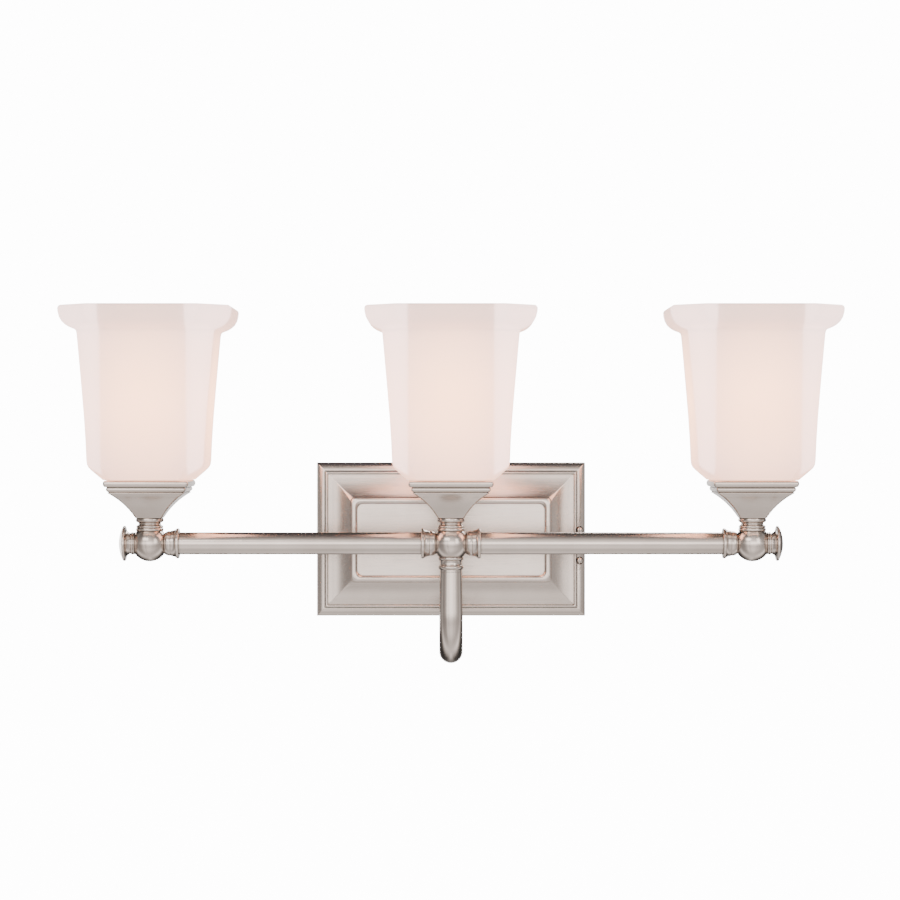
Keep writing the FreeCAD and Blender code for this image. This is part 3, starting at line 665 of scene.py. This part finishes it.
# Floor, light and camera
def pale_floor():
    """Pale matt floor, shown almost as bright as the studio behind it."""
    material, tree, shader = new_material("floor_pale")
    tone = stretched_noise(tree, (3, 3, 3))
    tree.links.new(ramp(tree, tone, [(0.3, (0.86, 0.86, 0.86)), (0.7, (0.88, 0.88, 0.88))]),
                   shader.inputs["Base Color"])
    shader.inputs["Roughness"].default_value = 0.6
    seen = node(tree, "ShaderNodeLightPath").outputs["Is Camera Ray"]
    share = node(tree, "ShaderNodeMath", {0: seen, 1: FLOOR_SHARE}, operation="MULTIPLY").outputs[0]
    bright = node(tree, "ShaderNodeEmission", {"Strength": STUDIO_WHITE / FLOOR_SHARE})
    both = node(tree, "ShaderNodeMixShader", {0: share, 1: shader.outputs[0], 2: bright.outputs[0]})
    tree.links.new(both.outputs[0], tree.nodes["Material Output"].inputs["Surface"])
    return material


STUDIO_WHITE = 14.0  # as the camera sees it
STUDIO_LEVEL = 5.0  # as the object sees it
BRIGHTEST = 5.0  # the top of the two lists of brightness below
FLOOR_SHARE = 0.8
FLOOR_HALF = 30.0
FLOOR_Z = cad_box[0].z - 0.25
floor_mesh = bpy.data.meshes.new("floor")
floor_mesh.from_pydata([(x * FLOOR_HALF, y * FLOOR_HALF, FLOOR_Z) for x, y in ((-1, -1), (1, -1), (1, 1), (-1, 1))],
                       [], [(0, 1, 2, 3)])
floor = bpy.data.objects.new("floor", floor_mesh)
bpy.context.scene.collection.objects.link(floor)
floor_mesh.materials.append(pale_floor())
floor.visible_glossy = False
floor.visible_diffuse = False
floor.visible_transmission = False

world = bpy.data.worlds.new("studio")
bpy.context.scene.world = world
world.use_nodes = True
sky = world.node_tree
background = sky.nodes["Background"]
toward = node(sky, "ShaderNodeSeparateXYZ", {0: node(sky, "ShaderNodeTexCoord").outputs["Generated"]})
front = node(sky, "ShaderNodeMath", {0: toward.outputs["Y"], 1: -1.0}, operation="MULTIPLY").outputs[0]
# Brightness of the studio by the angle from the front, in degrees: over the top, and round the sides
OVER_TOP = [
    (-180, 2.2), (-171, 1.6), (-160, 0.45), (-142, 0.35), (-128, 1.0), (-106, 4.4), (-88, 4.0), (-66, 2.2),
    (-40, 2.1), (-17, 1.5), (-5, 2.2), (1, 4.9), (6, 4.9), (15, 2.1), (36, 1.35), (58, 0.85), (84, 0.7),
    (112, 0.28), (138, 0.06), (158, 0.15), (170, 1.4), (180, 2.2)]
ROUND_SIDES = [
    (-180, 5.0), (-172, 3.6), (-162, 0.7), (-138, 0.4), (-115, 1.2), (-98, 2.6), (-84, 1.3), (-54, 1.5),
    (-46, 2.2), (-38, 3.6), (-30, 4.8), (-23, 2.8), (-14, 4.7), (0, 4.8), (16, 4.5), (26, 3.4), (40, 3.2),
    (54, 2.4), (84, 2.0), (98, 3.4), (115, 1.2), (138, 0.4), (162, 0.7), (172, 3.6), (180, 5.0)]


def studio_ramp(across, levels, pole):
    """Brightness by the angle between the front and the ray, faded to an even grey near the pole."""
    angle = node(sky, "ShaderNodeMath", {0: across, 1: front}, operation="ARCTAN2").outputs[0]
    share = spread(sky, angle, 0.0, 1.0, -math.pi, math.pi)
    stops = [((degrees + 180) / 360, (level / BRIGHTEST,) * 3) for degrees, level in levels]
    level = ramp(sky, share, stops)
    steep = node(sky, "ShaderNodeMath", {0: pole, 1: pole}, operation="MULTIPLY").outputs[0]
    clear = node(sky, "ShaderNodeMath", {0: steep, 1: 2.0}, operation="POWER").outputs[0]
    return mix(sky, clear, level, (0.3, 0.3, 0.3, 1))


over = studio_ramp(toward.outputs["Z"], OVER_TOP, toward.outputs["X"])
around = studio_ramp(toward.outputs["X"], ROUND_SIDES, toward.outputs["Z"])
product = node(sky, "ShaderNodeVectorMath", {0: over, 1: around}, operation="MULTIPLY").outputs[0]
warmth = (1.0, 0.972, 0.955)
shaded = node(sky, "ShaderNodeVectorMath", {0: product, 1: warmth}, operation="MULTIPLY").outputs[0]
behind = node(sky, "ShaderNodeBackground", {"Color": shaded, "Strength": STUDIO_LEVEL})
seen_directly = node(sky, "ShaderNodeLightPath").outputs["Is Camera Ray"]
background.inputs["Color"].default_value = (1, 1, 1, 1)
background.inputs["Strength"].default_value = STUDIO_WHITE
either = node(sky, "ShaderNodeMixShader", {0: seen_directly, 1: behind.outputs[0], 2: background.outputs[0]})
sky.links.new(either.outputs[0], sky.nodes["World Output"].inputs["Surface"])


def softbox(name, at, aim, width, height, power, colour=(1, 1, 1)):
    """Soft area light, unseen by the camera, that faces a point."""
    data = bpy.data.lights.new(name, "AREA")
    data.shape = "RECTANGLE"
    data.size = width
    data.size_y = height
    data.energy = power
    data.color = colour
    lamp = bpy.data.objects.new(name, data)
    bpy.context.scene.collection.objects.link(lamp)
    lamp.location = at
    lamp.rotation_euler = (Vector(aim) - Vector(at)).to_track_quat("-Z", "Y").to_euler()
    lamp.visible_camera = False


TARGET = Vector((0, HUB.y, 0.03))
WARM_WHITE = (1.0, 0.985, 0.97)
softbox("key", (-1.1, -2.2, 1.25), TARGET, 1.5, 0.7, 13, WARM_WHITE)
softbox("fill", (1.5, -1.9, 0.7), TARGET, 0.8, 1.2, 8, WARM_WHITE)
softbox("rear", (0.9, 1.9, 1.3), TARGET, 1.4, 0.9, 30)
softbox("rear_low", (-1.2, 1.8, 0.2), TARGET, 1.0, 1.0, 16)

CAMERA_AWAY = 2.0
CAMERA_UP = 67.4 * MM
CAMERA_ASIDE = -0.7 * MM
camera_data = bpy.data.cameras.new("camera")
camera_data.sensor_width = 36.0
camera_data.lens = 110.8
camera_data.clip_end = 100
camera = bpy.data.objects.new("camera", camera_data)
bpy.context.scene.collection.objects.link(camera)
camera.location = (HUB.x + CAMERA_ASIDE, HUB.y - CAMERA_AWAY, HUB.z + CAMERA_UP)
camera.rotation_euler = (math.radians(90), 0, 0)
bpy.context.scene.camera = camera
